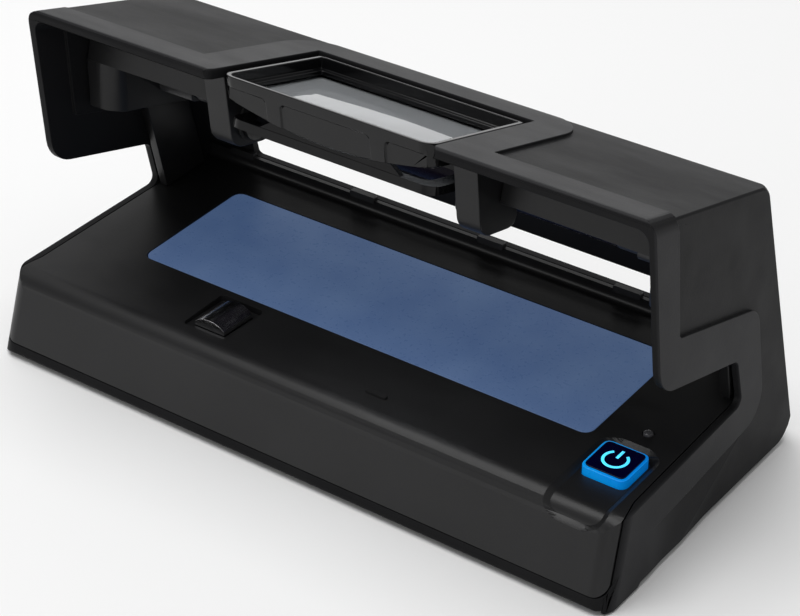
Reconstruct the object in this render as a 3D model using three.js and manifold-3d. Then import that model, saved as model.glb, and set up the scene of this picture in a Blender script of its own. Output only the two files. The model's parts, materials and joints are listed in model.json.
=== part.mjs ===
// Counterfeit bill detector: a C-shaped hood over a flat inspection deck, with a tilting magnifier.
// Millimetres. +X is the long axis, +Y points to the back and +Z points up.
// The origin is at the middle of the footprint, on the plane that the rubber feet stand on.

import * as THREE from 'three';
import { mergeVertices } from 'three/addons/utils/BufferGeometryUtils.js';
import Module from 'manifold-3d';

const wasm = await Module();
wasm.setup();

// ---- Driving dimensions -------------------------------------------------------------------------

const HALF = 105;               // half the overall length, at the foot of the shell
const DRAFT_PER_Z = 0.034;      // how much each side leans in for every millimetre of height
const DRAFT_PER_Y = 0.012;      // and for every millimetre towards the back
const DEPTH = 103.7;            // front to back, at the foot of the shell
const MIDDLE = 50.73;           // middle of the depth once the foot of the back is rounded
const FOOT_PROUD = 1.5;         // how far the rubber feet hold the shell off the table
const GAP = 0.3;                // clearance between pieces that meet
const ARC = 5;                  // straight steps in a quarter turn of a plain arc
const ARC_STEPS = 2.8;          // steps in a rounded corner, times the root of its radius

// Side profile of the shell, as (y, z) above its bottom edge.
const FACE_LEAN = 0.3;          // the front face leans back this much per millimetre of height
const DECK_START = [7.1, 23.65];
const DECK_SLOPE = 0.055;
const DECK_EDGE_RADIUS = 7;
const NOTCH_LOW = [68.6, 27.0];
const NOTCH_HIGH = [64.7, 42.1];
const WING_LOW = [24.3, 52.6];
const HOOD_FRONT = [18.7, 103.1];
const HOOD_BACK = [79.4, 87.6];
const HOOD_BACK_RADIUS = 7;
const BACK_FOOT = [DEPTH, 0];

const WALL = 2.3;                                       // side walls at the border
const TOP_WALL = 3.0;
const FLANGE = { front: 93.9, top: 2.4 };               // turned-in foot of the rear wall
const REAR_WALL = 2.3;
const PANEL_STEP = 1.0;         // how far the side panels sit below their raised border
const TOP_STEP = 0.9;           // the same on top of the hood
const EDGE_RADIUS = 4;          // rounding between the sides and the top and back
const CORNER_RADIUS = 6;        // plan radius of the two front corners
const BAND = 3.1;               // height of the strip of shell under the front face
const OPENING_RADIUS = 3.5;     // lower corners of the opening for the front face
const SEAM = { wall: 1.0, start: 3.5, end: 10, top: 26 };  // where the side walls thin out in front
const HEEL = { drop: 1.0, back: 18.5 };                    // low stretch of each side's bottom edge
const WING_FILLET = { radius: 3.5, deep: 17 };             // inner corners of the hood's mouth

// The hood's own frame: s runs back along its top from the front edge, t is square to the top.
const HOOD_TILT = Math.atan2(HOOD_FRONT[1] - HOOD_BACK[1], HOOD_BACK[0] - HOOD_FRONT[0]);
const REAR_LEAN = Math.atan2(BACK_FOOT[0] - HOOD_BACK[0], HOOD_BACK[1]);
const BORDER_S = 12.6;          // width of the raised border along the hood's front
const PLATEAU = { half: 47.3, back: 61, radius: 14 };
const BAY = { half: 36, back: 49.3, flare: 3.5 };

const SLOT = { half: 82, low: 32.6, high: 41 };         // see-through slot in the rear wall
const INLET = { x: 46, z: 12.5, radius: 4.3 };

// Deck cover and what sits in it.
const COVER = 2.4;
const LIP = { thick: 1.4, top: SLOT.low, turn: 1.5 };
const TAB = { pitch: 46.4, first: -85.4, count: 4, half: 4.5, tall: 1.4 };
const FRONT_TAB = { x: 20.9, y: 17.2, half: 3.4, deep: 1.6, tall: 0.7 };
const WINDOW = { half: 77, front: 34.4, back: 77.9, radius: 3, thick: 2 };
const HEAD = { x: -36.9, half: 5.25, front: 16.6, back: 29, radius: 8.2, proud: 1.9 };
const BUTTON = {
  x: 89.6, y: 27.4, side: 13.4, radius: 2, proud: 1.6, film: 0.4, skirt: 3.4, travel: 0.9,
};
const SCOOP = { x: 89.65, half: 9.25, radius: 5.5, back: 38, low: 18.5, deep: 1.2, wall: 1.7 };
const INDICATOR = { x: 89.7, y: 43.4, radius: 1.5 };

// Magnifier carriage, in the hood's frame.
const PIVOT = { s: 24.2, t: -16.65, radius: 2 };
const LENS_FRAME = { half: 34.2, front: 3.5, back: 48.2, top: -0.8, low: -7.3, belly: -11.9, lean: 0.37 };
const RIM = 1.4;
const LEDGE = { wide: 1.8, top: -4.0, low: -5.3 };
const LENS_THICK = 1.5;
const STRIP = { x: 17, half: 2.5, deep: 0.5, top: -4.1 };
const CRADLE = { half: 33.6, front: 8.8, back: 38, top: -13.2, low: -15.6 };
const ARM = { inner: 34.6, outer: 36.2, radius: 5.6 };
const WASHER = { inner: 36.45, outer: 37.05, radius: 6.2 };
const BRACKET = { inner: 37.3, outer: 44.7 };

// Lamp under the hood, in the hood's frame.
const LAMP = { s: 52, t: -18.2, radius: 7.75, glass: 68, cap: 75 };
const BLOCK = { inner: 88, outer: 97.5, low: -30.4, front: 37.4, wall: 1.8, radius: 6 };
const TROUGH = { s: 23.4, low: -16, wall: 1.8, lip: 6 };
const LINER_BACK = 59.3;

const FEET = { x: 88, front: 15, back: 86, radius: 5.5 };
const BASE_SCREWS = { x: 66, front: 14, back: 84 };
const PLATE = { low: 0.2, top: 2.2, front: 4.4, back: 93.5, frontRadius: 12, backRadius: 2 };
const VENT = { count: 6, first: -25, pitch: 10, half: 1, front: 24, back: 40 };

// Circuit board in the base and the parts on it, by their middles.
const BOARD = { z: 6.5, thick: 1.6, left: -55, right: 37, front: 44, back: 78 };
const TRANSFORMER = { x: -31, y: 63 };
const BUZZER = { x: 20, y: 66, radius: 5, tall: 5 };

// ---- Materials ----------------------------------------------------------------------------------

const paint = (color, roughness, metalness = 0) => () =>
  new THREE.MeshStandardMaterial({ color, roughness, metalness });
const casing = paint('#2b2b2d', 0.55);
const deckPlastic = paint('#242426', 0.5);
const innerPlastic = paint('#1c1c1e', 0.6);
const gloss = paint('#101012', 0.12);
const rubber = paint('#151515', 0.9);
const steel = paint('#b9bcc0', 0.3, 1);
const aluminium = paint('#c9ccd0', 0.35, 1);
const clear = paint('#dfe6ea', 0.05);
const white = paint('#e9eaec', 0.5);
const board = paint('#1f5a36', 0.5);
const blueGlow = paint('#00a8ff', 0.3);
const navy = paint('#05062e', 0.25);
const slate = paint('#5a6e9b', 0.4);

// ---- Building helpers ---------------------------------------------------------------------------
// Cutting solids run well past the part, so their far ends are round numbers.

const AXIS_X = new THREE.Vector3(1, 0, 0);
const AXIS_Y = new THREE.Vector3(0, 1, 0);
const AXIS_Z = new THREE.Vector3(0, 0, 1);

// The arc that rounds a corner between the lines from the point before it and to the next one.
function cornerArc(before, corner, next, radius) {
  const at = new THREE.Vector2(...corner);
  const toBefore = new THREE.Vector2(...before).sub(at).normalize();
  const toNext = new THREE.Vector2(...next).sub(at).normalize();
  const half = Math.acos(toBefore.dot(toNext)) / 2;
  const start = at.clone().addScaledVector(toBefore, radius / Math.tan(half));
  const end = at.clone().addScaledVector(toNext, radius / Math.tan(half));
  const inward = toBefore.clone().add(toNext).normalize();
  const centre = at.clone().addScaledVector(inward, radius / Math.sin(half));
  const from = Math.atan2(start.y - centre.y, start.x - centre.x);
  const to = Math.atan2(end.y - centre.y, end.x - centre.x);
  const clockwise = toBefore.cross(toNext) > 0;
  const arc = new THREE.EllipseCurve(centre.x, centre.y, radius, radius, from, to, clockwise);
  const turn = (Math.PI - 2 * half) / (Math.PI / 2);
  return { arc, steps: Math.max(2, Math.round(ARC_STEPS * Math.sqrt(radius) * turn)) };
}

// A closed outline through points (a, b, radius), with an arc at each corner that has a radius.
function outline(points) {
  const line = points.flatMap(([a, b, radius = 0], i) => {
    if (radius === 0) {
      return [new THREE.Vector2(a, b)];
    }
    const before = points[(i + points.length - 1) % points.length].slice(0, 2);
    const next = points[(i + 1) % points.length].slice(0, 2);
    const { arc, steps } = cornerArc(before, [a, b], next, radius);
    return arc.getPoints(steps);
  });
  return new THREE.Shape(line);
}

const rectangle = (a0, a1, b0, b1, radius = 0) =>
  outline([[a0, b0, radius], [a1, b0, radius], [a1, b1, radius], [a0, b1, radius]]);

const extrude = (shape, depth, steps = ARC) =>
  new THREE.ExtrudeGeometry(shape, { depth, bevelEnabled: false, curveSegments: steps });

// Outlines drawn as (y, z), (x, y) and (x, z), extruded along the axis that is left.
const alongX = (shape, from, to, steps) =>
  extrude(shape, to - from, steps)
    .applyMatrix4(new THREE.Matrix4().makeBasis(AXIS_Y, AXIS_Z, AXIS_X))
    .translate(from, 0, 0);
const alongZ = (shape, from, to, steps) => extrude(shape, to - from, steps).translate(0, 0, from);
const alongY = (shape, from, to, steps) =>
  extrude(shape, to - from, steps)
    .applyMatrix4(new THREE.Matrix4().makeBasis(AXIS_X, AXIS_Z, AXIS_Y.clone().negate()))
    .translate(0, to, 0);

const block = (x0, x1, y0, y1, z0, z1) =>
  new THREE.BoxGeometry(x1 - x0, y1 - y0, z1 - z0).translate(
    (x0 + x1) / 2, (y0 + y1) / 2, (z0 + z1) / 2);

// Round bars along X and along Z.
const barX = (radius, from, to, y, z, steps = 24) =>
  new THREE.CylinderGeometry(radius, radius, to - from, steps)
    .rotateZ(-Math.PI / 2)
    .translate((from + to) / 2, y, z);
const barZ = (radius, from, to, x, y, steps = 20) =>
  new THREE.CylinderGeometry(radius, radius, to - from, steps)
    .rotateX(Math.PI / 2)
    .translate(x, y, (from + to) / 2);
const barY = (radius, from, to, x, z, steps = 24) =>
  new THREE.CylinderGeometry(radius, radius, to - from, steps).translate(x, (from + to) / 2, z);

function solid(geometry) {
  const bare = geometry.clone();
  bare.deleteAttribute('normal');
  bare.deleteAttribute('uv');
  const merged = mergeVertices(bare, 1e-4);
  const vertProperties = Float32Array.from(merged.attributes.position.array);
  const triVerts = Uint32Array.from(merged.index.array);
  return new wasm.Manifold(new wasm.Mesh({ numProp: 3, vertProperties, triVerts }));
}

function geometryOf(manifold) {
  const { vertProperties, triVerts } = manifold.getMesh();
  const geometry = new THREE.BufferGeometry();
  geometry.setAttribute('position', new THREE.BufferAttribute(vertProperties, 3));
  geometry.setIndex(new THREE.BufferAttribute(triVerts, 1));
  return geometry;
}

const without = (base, ...cutters) => cutters.reduce((left, cutter) => left.subtract(cutter), base);
const joined = (base, ...others) => others.reduce((left, other) => left.add(other), base);
const mirrored = (geometry) => {
  const copy = geometry.clone().scale(-1, 1, 1);
  const flipped = copy.index ? copy.toNonIndexed() : copy;
  const { array } = flipped.attributes.position;
  for (let i = 0; i < array.length; i += 9) {
    for (let k = 0; k < 3; k += 1) {
      [array[i + 3 + k], array[i + 6 + k]] = [array[i + 6 + k], array[i + 3 + k]];
    }
  }
  return flipped;
};

// Moves every vertex of a geometry by a function of its place.
function reshape(geometry, move) {
  const { array } = geometry.attributes.position;
  const point = new THREE.Vector3();
  for (let i = 0; i < array.length; i += 3) {
    point.fromArray(array, i);
    move(point);
    point.toArray(array, i);
  }
  return geometry;
}

// The sides lean in towards the top and the back.
const drafted = (geometry) =>
  reshape(geometry, (p) => {
    p.x *= 1 - (DRAFT_PER_Z * p.z + DRAFT_PER_Y * p.y) / HALF;
  });

function piece(name, geometry, material) {
  const mesh = new THREE.Mesh(geometry, material());
  mesh.name = name;
  return mesh;
}

// ---- Lines of the side profile ------------------------------------------------------------------

const deckZ = (y, depth = 0) =>
  DECK_START[1] + (y - DECK_START[0]) * DECK_SLOPE - depth * Math.hypot(1, DECK_SLOPE);
const faceY = (z, depth = 0) => z * FACE_LEAN + depth * Math.hypot(1, FACE_LEAN);
const rearY = (z, depth = 0) =>
  HOOD_BACK[0] + (HOOD_BACK[1] - z) * Math.tan(REAR_LEAN) - depth / Math.cos(REAR_LEAN);
const topZ = (y, depth = 0) =>
  HOOD_FRONT[1] - (y - HOOD_FRONT[0]) * Math.tan(HOOD_TILT) - depth / Math.cos(HOOD_TILT);

// Where the front face and the deck meet, at a depth below both.
function deckCorner(depth) {
  const z = (deckZ(faceY(0, depth), depth)) / (1 - FACE_LEAN * DECK_SLOPE);
  return [faceY(z, depth), z];
}

// Where the hood's top and its back meet, at a depth below each.
function hoodCorner(topDepth, rearDepth) {
  const tilt = Math.tan(HOOD_TILT);
  const lean = Math.tan(REAR_LEAN);
  const z = (topZ(0, topDepth) - tilt * rearY(0, rearDepth)) / (1 - tilt * lean);
  return [rearY(z, rearDepth), z];
}

const hoodMatrix = new THREE.Matrix4()
  .makeTranslation(0, ...HOOD_FRONT)
  .multiply(new THREE.Matrix4().makeRotationX(-HOOD_TILT));
const inHood = (geometry) => geometry.applyMatrix4(hoodMatrix);

// ---- Outer shell --------------------------------------------------------------------------------

// The piece that squares off a front corner outside a plan radius, leaning with the front face.
function cornerWedge(radius) {
  const cx = HALF - CORNER_RADIUS;
  const cy = CORNER_RADIUS;
  const shape = new THREE.Shape();
  shape.moveTo(cx, -20);
  shape.lineTo(HALF + 5, -20);
  shape.lineTo(HALF + 5, cy);
  shape.lineTo(cx + radius, cy);
  shape.absarc(cx, cy, radius, 0, -Math.PI / 2, true);
  const wedge = reshape(alongZ(shape, -20, 40, 8), (p) => {
    p.y += p.z * FACE_LEAN;
  });
  return joined(solid(wedge), solid(mirrored(wedge)));
}

// A slab with rounded long edges, tangent to the outline where its normal leans back by an angle.
function roundedSlab(angle, centre, radius) {
  const normal = new THREE.Vector3(0, Math.sin(angle), Math.cos(angle));
  const along = AXIS_X.clone().cross(normal);
  const shape = outline([[-HALF, -200], [HALF, -200], [HALF, 0, EDGE_RADIUS], [-HALF, 0, EDGE_RADIUS]]);
  return solid(
    extrude(shape, 400)
      .translate(0, 0, -200)
      .applyMatrix4(new THREE.Matrix4().makeBasis(AXIS_X, normal, along))
      .translate(0, centre[0] + radius * normal.y, centre[1] + radius * normal.z));
}

function shellBody() {
  const profile = outline([
    [0, 0, 0.8], [...DECK_START, DECK_EDGE_RADIUS], [...NOTCH_LOW, 2.5], [...NOTCH_HIGH, 3],
    [...WING_LOW, 10], [...HOOD_FRONT, 1.2], [...HOOD_BACK, HOOD_BACK_RADIUS], [...BACK_FOOT, 8],
  ]);
  let body = solid(alongX(profile, -HALF, HALF));
  const centre = hoodCorner(HOOD_BACK_RADIUS, HOOD_BACK_RADIUS);
  const rearAngle = Math.PI / 2 - REAR_LEAN;
  const steps = 6;
  for (let i = 0; i <= steps; i += 1) {
    const angle = HOOD_TILT + ((rearAngle - HOOD_TILT) * i) / steps;
    body = body.intersect(roundedSlab(angle, centre, HOOD_BACK_RADIUS));
  }
  const heel = alongX(
    outline([[2, 0.6], [2, -HEEL.drop], [HEEL.back - 2, -HEEL.drop], [HEEL.back, 0.6]]),
    HALF - WALL, HALF);
  return joined(body, solid(heel), solid(mirrored(heel))).subtract(cornerWedge(CORNER_RADIUS));
}

// What the side walls take from a solid of full width. They thin out at the front corners, where
// the deck cover's front face wraps round.
function wallSpace(gap) {
  const thin = HALF - SEAM.wall - gap;
  const thick = HALF - WALL - gap;
  const plan = outline([
    [thin, SEAM.start], [HALF + 5, SEAM.start], [HALF + 5, 200], [thick, 200], [thick, SEAM.end],
  ]);
  const beside = reshape(alongZ(plan, BAND, SEAM.top), (p) => {
    p.y += p.z * FACE_LEAN;
  });
  const spaces = [
    beside, block(thick, HALF + 5, -50, 200, -20, BAND), block(thick, HALF + 5, -50, 200, SEAM.top, 130),
  ];
  return joined(...spaces.flatMap((space) => [solid(space), solid(mirrored(space))]));
}

// Rounds the two upper corners of the hood's mouth.
function mouthFillets() {
  const { radius, deep } = WING_FILLET;
  const x = HALF - WALL - radius;
  const t = -TOP_WALL - radius;
  const shape = new THREE.Shape();
  shape.moveTo(HALF, t);
  shape.lineTo(x + radius, t);
  shape.absarc(x, t, radius, 0, Math.PI / 2, false);
  shape.lineTo(x, 0);
  shape.lineTo(HALF, 0);
  const fillet = inHood(alongY(shape, -20, deep, 6));
  return joined(solid(fillet), solid(mirrored(fillet)));
}

// Everything inside the shell: open below, in front above the band, and under the hood.
function cavity() {
  const hoodInner = hoodCorner(TOP_WALL, REAR_WALL);
  const profile = outline([
    [faceY(0, WALL), -5], [faceY(BAND, WALL), BAND], [-20, BAND], [-20, topZ(-20, TOP_WALL)],
    [...hoodInner, 4], [rearY(FLANGE.top, REAR_WALL), FLANGE.top, 5], [FLANGE.front, FLANGE.top],
    [FLANGE.front, -5],
  ]);
  const wide = solid(alongX(profile, -(HALF - SEAM.wall), HALF - SEAM.wall));
  const bandCorner = cornerWedge(CORNER_RADIUS - WALL).intersect(
    solid(block(-HALF - 5, HALF + 5, -40, 60, -20, BAND)));
  const keep = solid(alongX(panelOutline(27.5), -HALF, HALF))
    .subtract(solid(block(-(HALF - WALL - PANEL_STEP), HALF - WALL - PANEL_STEP, -50, 150, -50, 150)));
  return without(
    wide, wallSpace(0), bandCorner, lowerCorners(SEAM.wall, BAND), mouthFillets(), keep);
}

// What rounds off the lower corners of the opening that the deck cover's front face fills.
function lowerCorners(inset, z) {
  const radius = OPENING_RADIUS;
  const edge = HALF - inset;
  const shape = new THREE.Shape();
  shape.moveTo(edge + 5, z - 5);
  shape.lineTo(edge + 5, z + radius);
  shape.lineTo(edge, z + radius);
  shape.absarc(edge - radius, z + radius, radius, 0, -Math.PI / 2, true);
  shape.lineTo(edge - radius, z - 5);
  const corner = alongY(shape, -20, 9);
  return joined(solid(corner), solid(mirrored(corner)));
}

// The recessed part of each side: everything behind and below the raised border of the C.
function panelOutline(low) {
  const fadeStart = 22;
  const fadeEnd = 42;
  if (low > 0) {
    return outline([[29, 112], [32.9, 64.9, 1.5], [75.1, 53.1, 8], [79.5, low], [140, low], [140, 112]]);
  }
  return outline([
    [29, 112], [32.9, 64.9, 1.5], [75.1, 53.1, 8], [81.4, 18.2, 9], [fadeEnd, 14.5],
    [fadeStart, 13.1], [fadeStart, low], [fadeEnd, low], [140, low], [140, 112],
  ]);
}

function sidePanelCut() {
  const cut = reshape(alongX(panelOutline(-8), HALF - PANEL_STEP, HALF + 8), (p) => {
    const depth = p.z < 20 ? PANEL_STEP * THREE.MathUtils.clamp((p.y - 22) / 20, 0, 1) : PANEL_STEP;
    p.x = p.x < HALF ? HALF - depth : p.x;
  });
  return joined(solid(cut), solid(mirrored(cut)));
}

function topPanelCut() {
  const field = solid(inHood(block(-120, 120, BORDER_S, 120, -TOP_STEP, 20)));
  const plateau = outline([
    [-PLATEAU.half, -10], [PLATEAU.half, -10], [PLATEAU.half, PLATEAU.back, PLATEAU.radius],
    [-PLATEAU.half, PLATEAU.back, PLATEAU.radius],
  ]);
  return field.subtract(solid(inHood(alongZ(plateau, -5, 25))));
}

// The magnifier's bay: open at the front, where the hood's edge turns in with a small radius.
function bayCut() {
  const { half, back, flare } = BAY;
  const shape = new THREE.Shape();
  shape.moveTo(half + flare, -8);
  shape.lineTo(half + flare, 0);
  shape.absarc(half + flare, flare, flare, -Math.PI / 2, -Math.PI, true);
  shape.lineTo(half, back);
  shape.lineTo(-half, back);
  shape.lineTo(-half, flare);
  shape.absarc(-half - flare, flare, flare, 0, -Math.PI / 2, true);
  shape.lineTo(-half - flare, -8);
  return solid(inHood(alongZ(shape, -9, 8)));
}

function outerShell() {
  const slot = alongY(rectangle(-SLOT.half, SLOT.half, SLOT.low, SLOT.high, 1.5), 80, 120);
  const inletHole = barY(INLET.radius + GAP, 90, 115, INLET.x, INLET.z);
  const walls = solid(drafted(geometryOf(without(shellBody(), cavity(), sidePanelCut()))));
  const shell = without(walls, topPanelCut(), bayCut(), solid(slot), solid(inletHole));
  return piece('outer_shell', geometryOf(shell), casing);
}

// ---- Deck cover ---------------------------------------------------------------------------------

const coverHalf = HALF - SEAM.wall - GAP;

function deckPlate() {
  const low = BAND + GAP;
  const lipBack = (z) => rearY(z, REAR_WALL + GAP);
  const lipFront = (z) => lipBack(z) - LIP.thick;
  const foot = deckZ(lipFront(LIP.top));
  const profile = outline([
    [faceY(low), low], [...deckCorner(0), DECK_EDGE_RADIUS], [lipFront(foot), foot, LIP.turn],
    [lipFront(LIP.top), LIP.top], [lipBack(LIP.top), LIP.top],
    [lipBack(foot - COVER), foot - COVER], [...deckCorner(COVER), DECK_EDGE_RADIUS - COVER],
    [faceY(low, COVER), low],
  ]);
  const returnBack = 14;
  const cornerFill = alongX(outline([
    [faceY(low), low], [...deckCorner(0), DECK_EDGE_RADIUS], [returnBack, deckZ(returnBack)],
    [returnBack, low],
  ]), coverHalf - 3.2, coverHalf);
  const plate = without(
    joined(solid(alongX(profile, -coverHalf, coverHalf)), solid(cornerFill), solid(mirrored(cornerFill))),
    wallSpace(GAP), cornerWedge(CORNER_RADIUS), lowerCorners(SEAM.wall + GAP, low),
    solid(block(HALF - WALL - PANEL_STEP - GAP, HALF, 60, 110, 27.2, 60)),
    solid(block(-HALF, -(HALF - WALL - PANEL_STEP - GAP), 60, 110, 27.2, 60)));
  return solid(drafted(geometryOf(plate)));
}

function rearTabs() {
  const y0 = rearY(LIP.top, REAR_WALL + GAP) - LIP.thick;
  const tabs = [];
  for (let i = 0; i < TAB.count; i += 1) {
    const x = TAB.first + i * TAB.pitch;
    const shape = rectangle(x - TAB.half, x + TAB.half, LIP.top - 0.6, LIP.top + TAB.tall, 0.5);
    tabs.push(solid(alongY(shape, y0 - 0.6, y0 + LIP.thick - 0.1)));
  }
  return tabs;
}

function frontTab() {
  const { x, y, half, deep, tall } = FRONT_TAB;
  const shape = rectangle(x - half, x + half, y - deep / 2, y + deep / 2, 0.5);
  return solid(alongZ(shape, deckZ(y) - 1, deckZ(y) + tall));
}

// Half the width of the scoop's outline at a distance from its nearer end, taken in by an inset.
function scoopHalf(fromEnd, inset) {
  const { half, radius } = SCOOP;
  const along = fromEnd - inset;
  const round = radius - inset;
  const fall = along < round ? round - Math.sqrt(round ** 2 - (round - along) ** 2) : 0;
  return half - inset - fall;
}

// The dish round the button, which runs forward over the front edge as a finger scoop. Its walls
// slope down to a flat floor all the way round.
function scoopCut() {
  const { x, back, low, deep, wall } = SCOOP;
  const proud = 0.3;
  const spread = (proud * wall) / deep;
  const top = [back, deckZ(back)];
  const bottom = [faceY(low), low];
  const { arc } = cornerArc(top, deckCorner(0), bottom, DECK_EDGE_RADIUS);
  const path = new THREE.CurvePath();
  path.add(new THREE.LineCurve(new THREE.Vector2(...top), arc.getPoint(0)));
  path.add(arc);
  path.add(new THREE.LineCurve(arc.getPoint(1), new THREE.Vector2(...bottom)));
  const length = path.getLength();
  const ends = [-spread, 0, 0.15, 0.4, 0.8, 1.25, wall, 1.9, 2.3, 2.9, 3.7, 4.6, SCOOP.radius];
  const stations = [...ends];
  const middle = 24;
  for (let i = 1; i < middle; i += 1) {
    stations.push(SCOOP.radius + ((length - 2 * SCOOP.radius) * i) / middle);
  }
  ends.reverse().forEach((end) => stations.push(length - end));
  const positions = [];
  stations.forEach((u) => {
    const share = THREE.MathUtils.clamp(u / length, 0, 1);
    const point = path.getPoint(share);
    const tangent = path.getTangent(share);
    point.addScaledVector(tangent, u - share * length);
    const fromEnd = Math.min(u, length - u);
    const inset = Math.min(fromEnd, wall);
    const floor = (-inset * deep) / wall;
    const outer = scoopHalf(fromEnd, -spread);
    const inner = scoopHalf(fromEnd, inset);
    const section = [
      [-outer, proud], [-inner, floor], [inner, floor], [outer, proud], [outer, 8], [-outer, 8],
    ];
    section.forEach(([across, up]) => {
      positions.push(x + across, point.x + tangent.y * up, point.y - tangent.x * up);
    });
  });
  return closedLoft(positions, 6, stations.length);
}

// A solid through rings of points, one ring at each station, closed by a flat face at both ends.
function closedLoft(positions, ring, count) {
  const faces = [];
  for (let i = 0; i < count - 1; i += 1) {
    for (let k = 0; k < ring; k += 1) {
      const a = i * ring + k;
      const b = i * ring + ((k + 1) % ring);
      faces.push(a, b, b + ring, a, b + ring, a + ring);
    }
  }
  const last = (count - 1) * ring;
  for (let k = 1; k < ring - 1; k += 1) {
    faces.push(0, k + 1, k, last, last + k, last + k + 1);
  }
  const geometry = new THREE.BufferGeometry();
  geometry.setAttribute('position', new THREE.Float32BufferAttribute(positions, 3));
  geometry.setIndex(faces);
  return solid(geometry);
}

const postTop = (y) => deckZ(y, COVER) + 0.8;
const plungerTop = deckZ(BUTTON.y) + BUTTON.proud - BUTTON.film - BUTTON.skirt - 2.65;

function coverPosts() {
  const posts = [];
  for (const x of [-BASE_SCREWS.x, BASE_SCREWS.x]) {
    posts.push(solid(barZ(4, 9.4, postTop(BASE_SCREWS.front), x, BASE_SCREWS.front)));
    posts.push(solid(barZ(4, 9.4, postTop(BASE_SCREWS.back), x, BASE_SCREWS.back)));
  }
  for (const dx of [-9.2, 9.2]) {
    const x = BUTTON.x + dx;
    posts.push(solid(barZ(1.1, plungerTop - 5.0, postTop(BUTTON.y) - 0.2, x, BUTTON.y, 12)));
  }
  return posts;
}

function coverBores() {
  const bores = [];
  for (const x of [-BASE_SCREWS.x, BASE_SCREWS.x]) {
    bores.push(solid(barZ(1.8, 5, 18, x, BASE_SCREWS.front)));
    bores.push(solid(barZ(1.8, 5, 18, x, BASE_SCREWS.back)));
  }
  return bores;
}

function deckCover() {
  const windowHole = rectangle(
    -WINDOW.half - GAP, WINDOW.half + GAP, WINDOW.front - GAP, WINDOW.back + GAP, WINDOW.radius);
  const pocket = rectangle(HEAD.x - 7.8, HEAD.x + 7.8, 14.2, 31.4, 1.2);
  const headHole = rectangle(
    HEAD.x - HEAD.half - GAP, HEAD.x + HEAD.half + GAP, HEAD.front - GAP, HEAD.back + GAP, 0.5);
  const half = BUTTON.side / 2 + GAP;
  const buttonHole = rectangle(
    BUTTON.x - half, BUTTON.x + half, BUTTON.y - half, BUTTON.y + half, BUTTON.radius + GAP);
  const solidCover = without(
    joined(deckPlate(), ...rearTabs(), frontTab(), ...coverPosts()),
    ...coverBores(), scoopCut(),
    solid(alongZ(windowHole, 10, 40)),
    solid(alongZ(pocket, deckZ(22, 1.4), 40)),
    solid(alongZ(headHole, 10, 40)),
    solid(alongZ(buttonHole, 10, 40)),
    solid(barZ(INDICATOR.radius + 0.2, 10, 40, INDICATOR.x, INDICATOR.y, 16)));
  return piece('deck_cover', geometryOf(solidCover), deckPlastic);
}

// ---- Base plate, feet and screws ----------------------------------------------------------------

const screwPlaces = [
  ['front_left', -BASE_SCREWS.x, BASE_SCREWS.front], ['front_right', BASE_SCREWS.x, BASE_SCREWS.front],
  ['rear_left', -BASE_SCREWS.x, BASE_SCREWS.back], ['rear_right', BASE_SCREWS.x, BASE_SCREWS.back],
];
const footPlaces = [
  ['front_left', -FEET.x, FEET.front], ['front_right', FEET.x, FEET.front],
  ['rear_left', -FEET.x, FEET.back], ['rear_right', FEET.x, FEET.back],
];
const BOSS_TOP = 9;
const boardPlaces = [[-48, 50], [30, 50]];

function basePlate() {
  const half = HALF - WALL - 0.9;
  const { front, back, frontRadius, backRadius } = PLATE;
  const plan = outline([
    [-half, front, frontRadius], [half, front, frontRadius], [half, back, backRadius],
    [-half, back, backRadius],
  ]);
  const bosses = screwPlaces.map(([, x, y]) => solid(barZ(5.5, 1, BOSS_TOP, x, y)));
  const standoffs = boardPlaces.map(([x, y]) => solid(barZ(3, 1, BOARD.z - 0.05, x, y)));
  const pedestal = solid(block(INLET.x - 5, INLET.x + 5, 86, 93, 1, INLET.z - 5.9));
  const counterbores = screwPlaces.map(([, x, y]) => solid(barZ(3.3, -3, 6, x, y)));
  const holes = screwPlaces.map(([, x, y]) => solid(barZ(1.8, -3, 20, x, y)));
  const boardHoles = boardPlaces.map(([x, y]) => solid(barZ(1.2, 3, 20, x, y, 12)));
  const vents = [];
  for (let i = 0; i < VENT.count; i += 1) {
    const x = VENT.first + i * VENT.pitch;
    const slit = rectangle(x - VENT.half, x + VENT.half, VENT.front, VENT.back, 0.9);
    vents.push(solid(alongZ(slit, -3, 5)));
  }
  const plate = without(
    joined(solid(drafted(alongZ(plan, PLATE.low, PLATE.top))), ...bosses, ...standoffs, pedestal),
    ...counterbores, ...holes, ...boardHoles, ...vents);
  return piece('base_plate', geometryOf(plate), casing);
}

function feet() {
  return footPlaces.map(([place, x, y]) => {
    const profile = [
      [0, -FOOT_PROUD], [FEET.radius - 0.6, -FOOT_PROUD], [FEET.radius, -FOOT_PROUD + 0.7],
      [FEET.radius, PLATE.low - 0.05], [0, PLATE.low - 0.05],
    ].map(([r, z]) => new THREE.Vector2(r, z));
    const foot = new THREE.LatheGeometry(profile, 24).rotateX(Math.PI / 2).translate(x, y, 0);
    return piece(`rubber_foot_${place}`, geometryOf(solid(foot)), rubber);
  });
}

// A pan-head screw standing on its head at z, its shank pointing up.
function screw(x, y, z, headRadius, headTall, shankRadius, length) {
  const profile = [
    [0, 0], [headRadius * 0.7, 0], [headRadius, headTall * 0.5], [headRadius, headTall],
    [shankRadius, headTall], [shankRadius, headTall + length - 0.8], [0, headTall + length],
  ].map(([r, h]) => new THREE.Vector2(r, h));
  const body = new THREE.LatheGeometry(profile, 16).rotateX(Math.PI / 2).translate(x, y, z);
  const armLong = headRadius * 0.65;
  const cross = [
    solid(block(x - armLong, x + armLong, y - 0.3, y + 0.3, z - 1, z + headTall * 0.5)),
    solid(block(x - 0.3, x + 0.3, y - armLong, y + armLong, z - 1, z + headTall * 0.5)),
  ];
  return without(solid(body), ...cross);
}

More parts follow.
